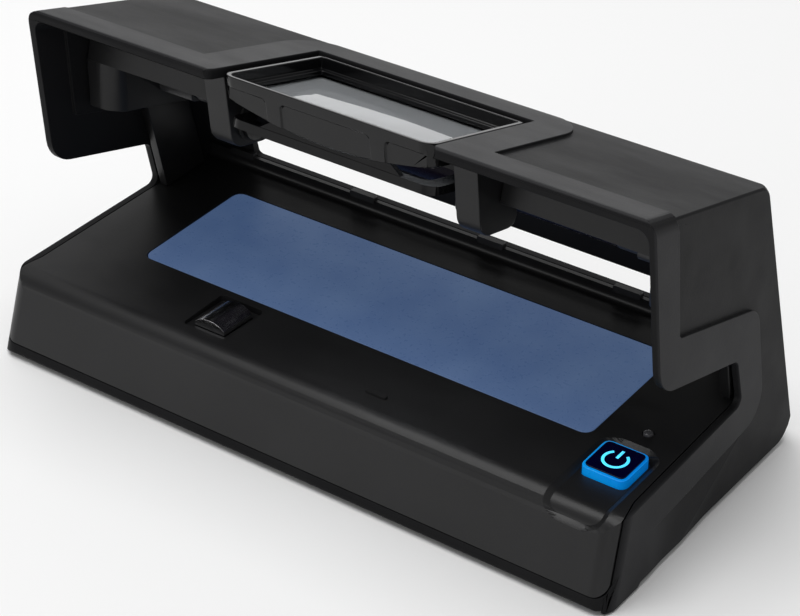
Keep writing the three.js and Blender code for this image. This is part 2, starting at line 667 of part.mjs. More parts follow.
function baseScrews() {
  return screwPlaces.map(([place, x, y]) =>
    piece(`base_screw_${place}`, geometryOf(screw(x, y, 3.9, 2.9, 2, 1.45, 11)), steel));
}

// ---- Hood liner, leg covers and brackets --------------------------------------------------------

// The trough under the hood and the two blocks that close the lamp's ends.
function hoodLiner() {
  const { s, low, wall, lip } = TROUGH;
  const top = -TOP_WALL - GAP;
  const bay = BRACKET.outer + GAP;
  const plate = solid(inHood(block(-BLOCK.outer, BLOCK.outer, s, LINER_BACK, top - wall, top)));
  const front = solid(inHood(block(-BLOCK.outer, BLOCK.outer, s, s + wall, low, top)));
  const flange = solid(inHood(block(-BLOCK.outer, BLOCK.outer, s, s + lip, low, low + wall)));
  const bayHole = solid(inHood(block(-bay, bay, s - 5, 51, -40, 5)));
  return piece(
    'hood_liner',
    geometryOf(without(
      joined(without(joined(plate, front, flange), bayHole), endBlock(1), endBlock(-1)),
      ...LINER_SCREWS.map(([, x, at]) => solid(inHood(barZ(1.4, -9, 0, x, at, 12)))))),
    innerPlastic);
}

// One hollow end block, open towards the shell's side.
function endBlock(side) {
  const { inner, outer, low, front, wall, radius } = BLOCK;
  const box = (inset, reach) => {
    const top = -TOP_WALL - GAP - inset;
    const upper = inHood(block(60, 130, TROUGH.s + inset, LINER_BACK - inset, TROUGH.low, top));
    const lower = inHood(block(60, 130, 5, LINER_BACK - inset, low + inset, TROUGH.low + 0.01));
    const plan = outline([
      [outer + reach, front + inset], [outer + reach, 110], [inner + inset, 110],
      [inner + inset, front + inset, Math.max(radius - inset, 0.5)],
    ]);
    return joined(solid(upper), solid(lower)).intersect(solid(alongZ(plan, 30, 120)));
  };
  const hollow = box(0, 0).subtract(box(wall, 5));
  return side > 0 ? hollow : solid(mirrored(geometryOf(hollow)));
}

const LINER_SCREWS = [['front_left', -84, 30], ['front_right', 84, 30], ['rear_left', -70, 55],
  ['rear_right', 70, 55]];

// The cover on the inner face of each rear leg, with a return that closes its front edge.
function legCover(name, side) {
  const inner = 97.0;
  const plate = 1.7;
  const outer = 99.9;
  const top = (y) => topZ(y, -BLOCK.low + 0.4);
  const front = (z) => NOTCH_LOW[0] - 0.6 - (z - NOTCH_LOW[1]) * 0.2583;
  const frontTop = 62.2;
  const sideView = (back, radius) => outline([
    [front(deckZ(66) + 0.4), deckZ(66) + 0.4, radius], [back + 7.2, deckZ(80) + 1],
    [back, top(back)], [frontTop - 2.2, top(frontTop - 2.2)],
  ]);
  const flat = solid(alongX(sideView(78.4, 1), inner, inner + plate));
  const below = solid(block(90, 120, 0, 120, 0, 55.5));
  const lip = solid(alongX(sideView(61.9, 0), inner + 0.6, outer)).intersect(below);
  const cover = joined(flat, lip);
  const geometry = geometryOf(cover);
  return piece(name, side > 0 ? geometry : mirrored(geometry), innerPlastic);
}

const pivotPoint = new THREE.Vector3(0, PIVOT.s, PIVOT.t).applyMatrix4(hoodMatrix);

// The rounded lug that hangs beside the magnifier and carries its pivot pin.
function pivotBracket(name, side) {
  const topDepth = TOP_WALL + GAP;
  const profile = outline([
    [27.0, topZ(27.0, topDepth)], [29.7, 74.6, 6.5], [46.5, 71.2, 3],
    [45.6, topZ(45.6, topDepth)],
  ]);
  const lug = without(
    solid(alongX(profile, BRACKET.inner, BRACKET.outer)),
    solid(barX(PIVOT.radius + GAP, 30, 43.2, pivotPoint.y, pivotPoint.z)));
  const geometry = geometryOf(lug);
  return piece(name, side > 0 ? geometry : mirrored(geometry), innerPlastic);
}

// ---- Magnifier carriage, in the hood's frame ----------------------------------------------------

// The frame's front face leans back below its top edge.
const leaning = (geometry) =>
  reshape(geometry, (p) => {
    p.y += p.y < 14 ? (LENS_FRAME.top - p.z) * LENS_FRAME.lean : 0;
  });

const framePlan = (inset, frontRadius, backRadius) => outline([
  [-LENS_FRAME.half + inset, LENS_FRAME.front + inset, frontRadius],
  [LENS_FRAME.half - inset, LENS_FRAME.front + inset, frontRadius],
  [LENS_FRAME.half - inset, LENS_FRAME.back - inset, backRadius],
  [-LENS_FRAME.half + inset, LENS_FRAME.back - inset, backRadius],
]);

const bellyDrop = LENS_FRAME.low - LENS_FRAME.belly;
const bellyRadius = (LENS_FRAME.half ** 2 + bellyDrop ** 2) / (2 * bellyDrop);

// Everything under the bowed lower edge of the front skirt, at a distance below it.
function underBelly(distance) {
  const reach = Math.asin(LENS_FRAME.half / bellyRadius);
  const centre = LENS_FRAME.belly + bellyRadius - distance;
  const shape = new THREE.Shape();
  shape.moveTo(-60, -40);
  shape.lineTo(60, -40);
  shape.lineTo(60, LENS_FRAME.low - distance);
  shape.absarc(0, centre, bellyRadius, -Math.PI / 2 + reach, -Math.PI / 2 - reach, true);
  shape.lineTo(-60, LENS_FRAME.low - distance);
  return shape;
}

function magnifierFrame() {
  const { top, low, belly } = LENS_FRAME;
  const outside = solid(leaning(alongZ(framePlan(0, 4, 1.6), belly - 1, top)));
  const upper = solid(leaning(alongZ(framePlan(RIM, 2.6, 0.6), LEDGE.top, 5)));
  const opening = solid(leaning(alongZ(framePlan(RIM + LEDGE.wide, 1.5, 0.6), -30, 5)));
  const lensPocket = solid(leaning(alongZ(framePlan(RIM, 2.6, 0.6), -30, LEDGE.low)));
  const belowSkirt = solid(alongY(underBelly(0), -20, 20, 16));
  const belowRing = solid(block(-60, 60, 11, 80, -40, low - 1.6));
  const panels = [[-60, -STRIP.x - STRIP.half], [-STRIP.x + STRIP.half, STRIP.x - STRIP.half],
    [STRIP.x + STRIP.half, 60]];
  const recesses = panels.map(([x0, x1]) => {
    const shape = rectangle(x0, x1, -40, STRIP.top, 1.2);
    return solid(leaning(alongY(shape, -10, LENS_FRAME.front + STRIP.deep)));
  });
  const frame = without(outside, upper, opening, lensPocket, belowSkirt, belowRing, ...recesses);
  return piece('magnifier_frame', geometryOf(frame), gloss);
}

const lensInset = RIM + GAP;
const lensFront = LENS_FRAME.front + lensInset + 3.5;
const lensTop = LEDGE.low - GAP;

// A slightly domed rectangular lens.
function magnifierLens() {
  const width = 2 * (LENS_FRAME.half - lensInset);
  const deep = LENS_FRAME.back - lensInset - lensFront;
  const dome = 0.55;
  const sheet = new THREE.BoxGeometry(width, deep, LENS_THICK, 12, 8, 1);
  reshape(sheet, (p) => {
    const fall = (2 * p.x / width) ** 2 + (2 * p.y / deep) ** 2;
    p.z += p.z > 0 ? -dome * Math.min(fall, 1) : 0;
  });
  sheet.translate(0, lensFront + deep / 2, lensTop - LENS_THICK / 2);
  return piece('magnifier_lens', geometryOf(solid(sheet)), clear);
}

function lensRetainer() {
  const high = lensTop - LENS_THICK - 0.1;
  const outer = rectangle(
    -LENS_FRAME.half + lensInset, LENS_FRAME.half - lensInset, lensFront + 0.6,
    LENS_FRAME.back - lensInset, 1);
  const inner = rectangle(
    -LENS_FRAME.half + 4.6, LENS_FRAME.half - 4.6, lensFront + 3, LENS_FRAME.back - 4.4, 1.5);
  const ring = solid(alongZ(outer, high - 1.2, high)).subtract(solid(alongZ(inner, -20, 0)));
  return piece('lens_retainer', geometryOf(ring), innerPlastic);
}

// The open tray under the lens, whose arms reach out to the pivot pins.
function magnifierCradle() {
  const { half, front, back, top, low } = CRADLE;
  const ringPlan = outline([[-half, front, 4], [half, front, 4], [half, back, 3], [-half, back, 3]]);
  const windowPlan = rectangle(-half + 4.5, half - 4.5, front + 4, back - 3, 3);
  const ring = solid(alongZ(ringPlan, low, top)).subtract(solid(alongZ(windowPlan, -30, 0)));
  const risen = outline([[-26, low + 0.5], [26, low + 0.5], [19, -10.5, 3], [-19, -10.5, 3]]);
  const riser = solid(alongY(risen, front + 0.2, front + 2.2))
    .intersect(solid(alongY(underBelly(GAP + 0.1), 0, 20, 16)));
  const parts = [ring, riser];
  for (const side of [-1, 1]) {
    const [x0, x1] = side > 0 ? [ARM.inner, ARM.outer] : [-ARM.outer, -ARM.inner];
    const [l0, l1] = side > 0 ? [half - 2, ARM.outer] : [-ARM.outer, -half + 2];
    const armView = outline([
      [PIVOT.s - 5.4, PIVOT.t - 5.6, 5], [PIVOT.s + 5.4, PIVOT.t - 5.6, 5],
      [PIVOT.s + 5.4, -6.0, 3], [PIVOT.s - 5.4, -6.0, 3],
    ]);
    parts.push(solid(alongX(armView, x0, x1)));
    parts.push(solid(block(l0, l1, PIVOT.s - 4.5, PIVOT.s + 4.5, low, top)));
  }
  const cradle = joined(...parts).subtract(
    solid(barX(PIVOT.radius + GAP, -50, 50, PIVOT.s, PIVOT.t)));
  return piece('magnifier_cradle', geometryOf(cradle), gloss);
}

function pivotHardware(label, side) {
  const span = (a, b) => (side > 0 ? [a, b] : [-b, -a]);
  const pin = barX(PIVOT.radius, ...span(ARM.inner + 0.1, 42.8), PIVOT.s, PIVOT.t);
  const disc = solid(barX(WASHER.radius, ...span(WASHER.inner, WASHER.outer), PIVOT.s, PIVOT.t, 32));
  const hole = solid(barX(PIVOT.radius + GAP, -60, 60, PIVOT.s, PIVOT.t));
  return [
    piece(`pivot_pin_${label}`, geometryOf(solid(pin)), steel),
    piece(`friction_washer_${label}`, geometryOf(disc.subtract(hole)), rubber),
  ];
}

// ---- Lamp, in the hood's frame ------------------------------------------------------------------

function lamp() {
  const { s, t, radius, glass, cap } = LAMP;
  const parts = [piece('uv_lamp_tube', geometryOf(solid(barX(radius, -glass, glass, s, t, 28))), white)];
  for (const [label, side] of [['left', -1], ['right', 1]]) {
    const span = (a, b) => (side > 0 ? [a, b] : [-b, -a]);
    const collar = solid(barX(radius + 0.2, ...span(glass + 0.2, cap), s, t, 28));
    const pins = [-2.4, 2.4].map((d) => solid(barX(1, ...span(cap - 1, cap + 5.5), s, t + d, 8)));
    parts.push(piece(`lamp_cap_${label}`, geometryOf(joined(collar, ...pins)), aluminium));
    const [h0, h1] = span(cap + 0.4, BLOCK.inner - GAP);
    const slot = solid(block(Math.min(h0, h1) - 1, Math.max(h0, h1) + 1, s - 1.4, s + 1.4, t - 20, t + 4));
    const holder = solid(alongX(rectangle(s - 7, s + 7, t - 7.5, t + 8, 2), h0, h1));
    parts.push(piece(`lamp_holder_${label}`, geometryOf(holder.subtract(slot)), white));
  }
  return parts;
}

function lampReflector() {
  const { s, t, radius, cap } = LAMP;
  const shape = new THREE.Shape();
  const [from, to] = [THREE.MathUtils.degToRad(40), THREE.MathUtils.degToRad(172)];
  shape.absarc(s, t, radius + 2.1, from, to, false);
  shape.absarc(s, t, radius + 1.5, to, from, true);
  return piece('lamp_reflector', geometryOf(solid(alongX(shape, -cap, cap, 14))), aluminium);
}

function linerScrews() {
  return LINER_SCREWS.map(([place, x, s]) => {
    const head = -TOP_WALL - GAP - TROUGH.wall - 0.1 - 1.4;
    const body = geometryOf(screw(x, s, head, 2.2, 1.4, 1.0, 1.6));
    return piece(`liner_screw_${place}`, body, steel);
  });
}

// ---- Backlight, magnetic head and indicator -----------------------------------------------------

// Tilts a flat piece drawn at z = 0 into the plane of the deck.
const onDeck = (geometry, depth) =>
  reshape(geometry, (p) => {
    p.z += deckZ(p.y, depth);
  });

function backlight() {
  const { half, front, back, radius, thick } = WINDOW;
  const pane = onDeck(alongZ(rectangle(-half, half, front, back, radius), -thick, 0), 0.1);
  const trayOuter = onDeck(
    alongZ(rectangle(-half - 2, half + 2, front - 2, back + 2, 3), -7, 0), COVER + GAP);
  const trayInner = onDeck(
    alongZ(rectangle(-half + 2, half - 2, front + 2, back - 2, 3), -20, 5), COVER + GAP);
  const ledBoard = onDeck(
    alongZ(rectangle(-half + 3, half - 3, front + 3, back - 3, 1), -1.6, 0), COVER + GAP + 4.6);
  const parts = [solid(ledBoard)];
  for (let i = 0; i < 6; i += 1) {
    for (const y of [front + 14, back - 14]) {
      const x = -60 + i * 24;
      const led = onDeck(block(x - 1.8, x + 1.8, y - 1.8, y + 1.8, -0.2, 0.9), COVER + GAP + 4.6);
      parts.push(solid(led));
    }
  }
  return [
    piece('backlight_window', geometryOf(solid(pane)), slate),
    piece('backlight_tray', geometryOf(solid(trayOuter).subtract(solid(trayInner))), white),
    piece('backlight_board', geometryOf(joined(...parts)), board),
  ];
}

function magneticHead() {
  const { x, half, front, back, radius, proud } = HEAD;
  const crown = deckZ(22) + proud;
  const shape = outline([[x - half, 14], [x + half, 14], [x + half, 60], [x - half, 60]]);
  const body = solid(alongY(shape, front, back)).intersect(
    solid(barY(radius, front - 1, back + 1, x, crown - radius, 48)));
  const carrier = joined(
    solid(block(x - half - 3, x + half + 3, front, back, 11.5, 13.7)),
    solid(block(x - half - 3, x - half - 1.4, front, back, 11.5, 21.2)),
    solid(block(x + half + 1.4, x + half + 3, front, back, 11.5, 21.2)));
  return [
    piece('magnetic_head', geometryOf(body), steel),
    piece('head_carrier', geometryOf(carrier), innerPlastic),
  ];
}

function indicatorLens() {
  const { x, y, radius } = INDICATOR;
  const top = deckZ(y);
  const profile = [
    [0, top - 5], [radius + 0.6, top - 5], [radius + 0.6, top - 4], [radius, top - 4],
    [radius, top - 0.2], [radius * 0.86, top + 0.35], [radius * 0.5, top + 0.75], [0, top + 0.9],
  ].map(([r, z]) => new THREE.Vector2(r, z));
  const dome = new THREE.LatheGeometry(profile, 16).rotateX(Math.PI / 2).translate(x, y, 0);
  return piece('indicator_lens', geometryOf(solid(dome)), clear);
}

// ---- Power button -------------------------------------------------------------------------------

function powerButton() {
  const { x, y, side, radius, proud, film, skirt } = BUTTON;
  const top = deckZ(y) + proud;
  const half = side / 2;
  const square = (h, r) => rectangle(x - h, x + h, y - h, y + h, r);
  const level = (geometry) => reshape(geometry, (p) => {
    p.z += (p.y - y) * DECK_SLOPE;
  });
  const body = joined(
    solid(level(alongZ(square(half, radius), top - film - skirt - 1.6, top - film))),
    solid(level(alongZ(square(half + 1, radius), top - film - skirt - 2.6, top - film - skirt - 1.4))));
  const hollow = solid(level(alongZ(square(half - 1.4, 1), top - 20, top - film - 1.8)));
  const stem = solid(barZ(1.6, top - film - skirt - 2.6, top - film - 1, x, y, 16));
  const cap = joined(body.subtract(hollow), stem);
  const plunger = barZ(1.5, plungerTop - 2.2, plungerTop, x, y, 16);
  const legend = level(alongZ(square(half - 0.75, radius - 0.6), top - film + 0.02, top));
  return [
    piece('power_button_cap', geometryOf(cap), blueGlow),
    piece('power_button_legend', geometryOf(solid(legend)), navy),
    piece('switch_plunger', geometryOf(solid(plunger)), innerPlastic),
    piece('tact_switch', geometryOf(switchBody()), innerPlastic),
    piece('switch_board', geometryOf(switchBoard()), board),
  ];
}

function switchBody() {
  const { x, y, travel } = BUTTON;
  const top = plungerTop - travel - 0.25;
  const floor = plungerTop - 5.2;
  return solid(block(x - 3, x + 3, y - 3, y + 3, floor, top))
    .subtract(solid(barZ(1.8, floor + 0.8, top + 3, x, y, 16)));
}

function switchBoard() {
  const { x, y } = BUTTON;
  const top = plungerTop - 5.3;
  const parts = [solid(block(x - 10.3, x + 10.3, y - 8, y + 8, top - 1.6, top))];
  for (const [dx, dy] of [[-5.2, -5.2], [5.2, -5.2], [-5.2, 5.2], [5.2, 5.2]]) {
    parts.push(solid(block(x + dx - 0.9, x + dx + 0.9, y + dy - 0.9, y + dy + 0.9, top - 0.2, top + 0.9)));
  }
  return joined(...parts);
}

// ---- Electronics --------------------------------------------------------------------------------

function electronics() {
  const { z, thick, left, right, front, back } = BOARD;
  const top = z + thick;
  const seat = top + 0.05;
  const main = without(
    solid(block(left, right, front, back, z, top)),
    ...boardPlaces.map(([x, y]) => solid(barZ(1.4, 0, 20, x, y, 12))));
  const around = (at, halfX, halfY, tall) => solid(
    block(at.x - halfX, at.x + halfX, at.y - halfY, at.y + halfY, seat, seat + tall));
  const core = joined(around(TRANSFORMER, 9, 7, 5.3), around(TRANSFORMER, 12, 3, 4.1));
  const can = solid(barZ(BUZZER.radius, seat, seat + BUZZER.tall, BUZZER.x, BUZZER.y, 28));
  const buzzer = can.subtract(solid(barZ(1, seat + 3.4, seat + 9, BUZZER.x, BUZZER.y, 12)));
  const parts = [
    piece('main_board', geometryOf(main), board),
    piece('ballast_transformer', geometryOf(core), innerPlastic),
    piece('buzzer', geometryOf(buzzer), innerPlastic),
  ];
  boardPlaces.forEach(([x, y], i) => {
    const up = geometryOf(screw(0, 0, 0, 2.1, 1.4, 0.9, 3)).rotateX(Math.PI).translate(x, y, top + 1.45);
    parts.push(piece(`board_screw_${i + 1}`, up, steel));
  });
  return parts;
}

// A barrel jack whose nose shows in the rear wall.
function inlet() {
  const { x, z, radius } = INLET;
  const nose = rearY(z) - 0.4;
  const shoulder = rearY(z + 6, REAR_WALL) - 0.6;
  const body = joined(
    solid(barY(radius, shoulder - 2, nose, x, z)),
    solid(block(x - 5.5, x + 5.5, shoulder - 11, shoulder, z - 5.6, z + 5)));
  const bore = solid(barY(3.1, shoulder - 7, nose + 5, x, z));
  return piece('dc_inlet', geometryOf(body.subtract(bore)), innerPlastic);
}

// ---- Assembly -----------------------------------------------------------------------------------

const hood = new THREE.Group();
hood.position.set(0, ...HOOD_FRONT);
hood.rotation.x = -HOOD_TILT;
hood.add(
  magnifierFrame(), magnifierLens(), lensRetainer(), magnifierCradle(),
  ...pivotHardware('left', -1), ...pivotHardware('right', 1),
  ...lamp(), lampReflector(), ...linerScrews());

const detector = new THREE.Group();
detector.position.set(0, -MIDDLE, FOOT_PROUD);
detector.add(
  outerShell(), deckCover(), basePlate(), ...feet(), ...baseScrews(), hoodLiner(),
  legCover('leg_cover_left', -1), legCover('leg_cover_right', 1),
  pivotBracket('pivot_bracket_left', -1), pivotBracket('pivot_bracket_right', 1),
  ...backlight(), ...magneticHead(), indicatorLens(), ...powerButton(), ...electronics(), inlet(), hood);

const part = new THREE.Group();
part.add(detector);

export default part;
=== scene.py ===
"""Looks of the counterfeit bill detector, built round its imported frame."""

import json
import math

import bmesh
import bpy
from mathutils import Matrix, Vector


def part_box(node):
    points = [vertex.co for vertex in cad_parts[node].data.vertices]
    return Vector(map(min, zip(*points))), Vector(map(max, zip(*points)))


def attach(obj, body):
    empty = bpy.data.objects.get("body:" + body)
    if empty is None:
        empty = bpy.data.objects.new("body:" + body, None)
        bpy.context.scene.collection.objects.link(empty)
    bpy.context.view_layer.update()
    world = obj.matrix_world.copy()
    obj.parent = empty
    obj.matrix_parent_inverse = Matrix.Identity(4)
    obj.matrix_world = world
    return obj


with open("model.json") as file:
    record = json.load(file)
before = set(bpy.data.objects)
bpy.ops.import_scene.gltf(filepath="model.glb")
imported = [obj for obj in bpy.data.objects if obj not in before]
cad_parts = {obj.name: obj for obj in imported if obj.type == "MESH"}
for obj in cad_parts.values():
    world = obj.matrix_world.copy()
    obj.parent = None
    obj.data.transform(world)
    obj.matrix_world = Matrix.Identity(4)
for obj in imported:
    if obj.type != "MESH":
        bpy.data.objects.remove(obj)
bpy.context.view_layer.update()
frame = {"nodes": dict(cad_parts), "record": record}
nodes = frame["nodes"]
MM = 0.001

# Sockets of the colour mix node, which shares its names between data types.
MIX_FIRST = 6
MIX_SECOND = 7
MIX_RESULT = 2

# Scales of the noise that makes moulded plastic.
CLOUDS = 35
SMEARS = 90
FINE_GRAIN = 3600
COARSE_GRAIN = 1500
FINE_DEPTH = 0.06 * MM
COARSE_DEPTH = 0.08 * MM

# How far the raised borders stand over the panels that they frame.
HOOD_BORDER = 0.8 * MM
SIDE_BORDER = 0.9 * MM
SATIN_STEP = -0.06

EDGE_ANGLE = math.radians(32)
WELD_DISTANCE = 0.001 * MM


# ---- Materials ----------------------------------------------------------------------------------


class Surface:
    """A node material on the object's own coordinates, with one Principled shader."""

    def __init__(self, name, **constants):
        self.material = bpy.data.materials.new(name)
        self.material.use_nodes = True
        self.tree = self.material.node_tree
        self.shader = self.tree.nodes["Principled BSDF"]
        self.place = self.add("ShaderNodeTexCoord").outputs["Object"]
        for socket, value in constants.items():
            self.shader.inputs[socket.replace("_", " ")].default_value = value

    def add(self, kind, **settings):
        node = self.tree.nodes.new(kind)
        for key, value in settings.items():
            setattr(node, key, value)
        return node

    def link(self, output, target):
        self.tree.links.new(output, target)

    def noise(self, scale, detail=3.0, roughness=0.5, stretch=None):
        """Noise whose grain is about 1 / scale metres across."""
        place = self.place
        if stretch:
            mapping = self.add("ShaderNodeMapping")
            mapping.inputs["Scale"].default_value = stretch
            self.link(place, mapping.inputs["Vector"])
            place = mapping.outputs["Vector"]
        texture = self.add("ShaderNodeTexNoise")
        texture.inputs["Scale"].default_value = scale
        texture.inputs["Detail"].default_value = detail
        texture.inputs["Roughness"].default_value = roughness
        self.link(place, texture.inputs["Vector"])
        return texture.outputs["Fac"]

    def spread(self, value, low, high, start=0.3, stop=0.7):
        """Maps a 0 to 1 value to low to high."""
        ramp = self.add("ShaderNodeMapRange")
        ramp.inputs["From Min"].default_value = start
        ramp.inputs["From Max"].default_value = stop
        ramp.inputs["To Min"].default_value = low
        ramp.inputs["To Max"].default_value = high
        self.link(value, ramp.inputs["Value"])
        return ramp.outputs["Result"]

    def blend(self, factor, first, second):
        mix = self.add("ShaderNodeMix", data_type="RGBA")
        mix.inputs[MIX_FIRST].default_value = (*first, 1)
        mix.inputs[MIX_SECOND].default_value = (*second, 1)
        self.link(factor, mix.inputs["Factor"])
        return mix.outputs[MIX_RESULT]

    def mixed(self, factor, first, second):
        """Like blend, between two colour outputs."""
        mix = self.add("ShaderNodeMix", data_type="RGBA")
        self.link(first, mix.inputs[MIX_FIRST])
        self.link(second, mix.inputs[MIX_SECOND])
        self.link(factor, mix.inputs["Factor"])
        return mix.outputs[MIX_RESULT]

    def beyond(self, normal, reach, depth):
        """How far the surface has risen to a plane from a depth below it, from 0 to 1.

        The plane has a mirrored twin on the other side of x = 0.
        """
        split = self.add("ShaderNodeSeparateXYZ")
        self.link(self.place, split.inputs[0])
        side = self.add("ShaderNodeMath", operation="ABSOLUTE")
        self.link(split.outputs["X"], side.inputs[0])
        folded = self.add("ShaderNodeCombineXYZ")
        self.link(side.outputs[0], folded.inputs["X"])
        self.link(split.outputs["Y"], folded.inputs["Y"])
        self.link(split.outputs["Z"], folded.inputs["Z"])
        dot = self.add("ShaderNodeVectorMath", operation="DOT_PRODUCT")
        dot.inputs[1].default_value = normal
        self.link(folded.outputs[0], dot.inputs[0])
        return self.spread(dot.outputs["Value"], 0, 1, reach - depth, reach - 0.1 * depth)

    def colour(self, factor, first, second, socket="Base Color"):
        self.link(self.blend(factor, first, second), self.shader.inputs[socket])

    def roughness(self, factor, low, high):
        self.link(self.spread(factor, low, high), self.shader.inputs["Roughness"])

    def bump(self, *layers):
        """Each layer is (height output, strength, distance in metres)."""
        normal = None
        for height, strength, distance in layers:
            node = self.add("ShaderNodeBump")
            node.inputs["Strength"].default_value = strength
            node.inputs["Distance"].default_value = distance
            self.link(height, node.inputs["Height"])
            if normal:
                self.link(normal, node.inputs["Normal"])
            normal = node.outputs["Normal"]
        self.link(normal, self.shader.inputs["Normal"])


def grained_plastic(name, dark, light, rough, grain=0.35):
    """Black moulded plastic with a fine spark-eroded grain and faint handling marks."""
    surface = Surface(name, Specular_IOR_Level=0.3)
    clouds = surface.noise(CLOUDS, 2)
    smears = surface.noise(SMEARS, 4, 0.6, stretch=(0.35, 1, 1))
    surface.colour(surface.spread(clouds, 0, 1), dark, light)
    surface.roughness(smears, rough - 0.05, rough + 0.06)
    fine = surface.noise(FINE_GRAIN, 1)
    coarse = surface.noise(COARSE_GRAIN, 2)
    surface.bump((fine, grain, FINE_DEPTH), (coarse, grain * 0.6, COARSE_DEPTH))
    return surface.material


def shell_plastic(name):
    """The shell's plastic: satin on its raised borders and rougher on its panels, with the borders'
    colour painted lighter than the panels' as a painted sheen.
    """
    surface = Surface(name, Specular_IOR_Level=0.05)
    raised = surface.add("ShaderNodeMath", operation="MAXIMUM")
    surface.link(surface.beyond(HOOD_TOP_NORMAL, HOOD_TOP_REACH, HOOD_BORDER), raised.inputs[0])
    surface.link(surface.beyond(SIDE_NORMAL, SIDE_REACH, SIDE_BORDER), raised.inputs[1])
    raised = raised.outputs[0]
    clouds = surface.spread(surface.noise(CLOUDS, 2), 0, 1)
    # Painted sheen: the raised borders' colour is about twice as light as the panels', standing in for
    # the highlight on them.
    panel = surface.blend(clouds, (0.0095, 0.0095, 0.0102), (0.0125, 0.0125, 0.0132))
    border_painted_sheen = surface.blend(clouds, (0.021, 0.021, 0.0225), (0.026, 0.026, 0.0275))
    surface.link(surface.mixed(raised, panel, border_painted_sheen), surface.shader.inputs["Base Color"])
    smears = surface.spread(surface.noise(SMEARS, 4, 0.6, stretch=(0.35, 1, 1)), 0.38, 0.47)
    smooth = surface.add("ShaderNodeMath", operation="MULTIPLY_ADD")
    smooth.inputs[1].default_value = SATIN_STEP
    surface.link(raised, smooth.inputs[0])
    surface.link(smears, smooth.inputs[2])
    surface.link(smooth.outputs[0], surface.shader.inputs["Roughness"])
    fine = surface.noise(FINE_GRAIN, 1)
    coarse = surface.noise(COARSE_GRAIN, 2)
    surface.bump((fine, 0.35, FINE_DEPTH), (coarse, 0.22, COARSE_DEPTH))
    return surface.material


def glossy_plastic(name, dark, light, rough=0.09, shine=0.22):
    """Polished black moulding with a little flow waviness, dust and hairline scuffs."""
    surface = Surface(name, Specular_IOR_Level=shine, Coat_Weight=shine * 0.35, Coat_Roughness=0.05)
    surface.colour(surface.spread(surface.noise(60, 2), 0, 1), dark, light)
    surface.roughness(surface.noise(420, 5, 0.65), rough, rough + 0.09)
    surface.bump((surface.noise(130, 1), 0.12, 0.0002), (surface.noise(1800, 2), 0.03, 0.00005))
    return surface.material


def rubber_skin(name, tone):
    surface = Surface(name, Specular_IOR_Level=0.3)
    surface.colour(surface.noise(400, 3), tone, tuple(c * 1.7 for c in tone))
    surface.roughness(surface.noise(900, 3), 0.78, 0.92)
    surface.bump((surface.noise(2400, 3), 0.4, 0.0001))
    return surface.material


def plated_steel(name, tone, rough=0.25):
    surface = Surface(name, Metallic=1.0)
    surface.colour(surface.noise(700, 3), tone, tuple(min(1, c * 1.25) for c in tone))
    surface.roughness(surface.noise(2500, 3), rough - 0.06, rough + 0.12)
    surface.bump((surface.noise(5000, 2), 0.1, 0.00003))
    return surface.material


def polished_head(name):
    """Lapped metal crown, with faint lines along the way a note slides."""
    surface = Surface(name, Metallic=1.0)
    lines = surface.noise(900, 2, 0.6, stretch=(6, 0.25, 1))
    surface.colour(surface.noise(500, 2), (0.55, 0.55, 0.57), (0.86, 0.86, 0.87))
    surface.roughness(lines, 0.12, 0.26)
    surface.bump((lines, 0.12, 0.00004))
    return surface.material


def lens_glass(name):
    """Hazy acrylic with a slight grey tint and a little waviness."""
    surface = Surface(
        name, Transmission_Weight=0.66, IOR=1.49, Base_Color=(0.52, 0.54, 0.56, 1))
    surface.roughness(surface.noise(300, 4), 0.01, 0.04)
    surface.bump((surface.noise(28, 1), 0.05, 0.0005))
    return surface.material


def lit_plastic(name, low, high, glow_low, glow_high, strength, rough=0.3):
    """Translucent plastic that is lit from behind, a little unevenly."""
    surface = Surface(name, Emission_Strength=strength, Specular_IOR_Level=0.5)
    cloud = surface.spread(surface.noise(55, 2), 0, 1)
    surface.colour(cloud, low, high)
    surface.colour(cloud, glow_low, glow_high, socket="Emission Color")
    surface.roughness(surface.noise(900, 3), rough - 0.05, rough + 0.08)
    surface.bump((surface.noise(1400, 1), 0.03, 0.00004))
    return surface.material


def plain_moulding(name, tone, rough=0.45):
    surface = Surface(name)
    surface.colour(surface.noise(120, 3), tone, tuple(min(1, c * 1.12 + 0.004) for c in tone))
    surface.roughness(surface.noise(700, 3), rough - 0.06, rough + 0.08)
    surface.bump((surface.noise(2600, 2), 0.2, 0.00005))
    return surface.material


def circuit_board(name):
    """Solder mask over copper tracks."""
    surface = Surface(name, Coat_Weight=0.3)
    tracks = surface.add("ShaderNodeTexBrick", offset=0.37, squash=1.6)
    tracks.inputs["Scale"].default_value = 260
    tracks.inputs["Mortar Size"].default_value = 0.06
    surface.link(surface.place, tracks.inputs["Vector"])
    surface.colour(tracks.outputs["Fac"], (0.01, 0.09, 0.035), (0.03, 0.2, 0.07))
    surface.roughness(surface.noise(800, 2), 0.3, 0.5)
    surface.bump((tracks.outputs["Fac"], 0.3, 0.00005))
    return surface.material


# Planes of the shell's raised borders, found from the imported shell: its hood top and its sides.
def plane_reach(normal):
    return max(v.co.dot(Vector(normal)) for v in nodes["outer_shell"].data.vertices)


HOOD_TILT = math.radians(14.32)
HOOD_TOP_NORMAL = (0, math.sin(HOOD_TILT), math.cos(HOOD_TILT))
HOOD_TOP_REACH = plane_reach(HOOD_TOP_NORMAL)
SIDE_NORMAL = (1, 0.012, 0.034)
SIDE_REACH = plane_reach(SIDE_NORMAL)

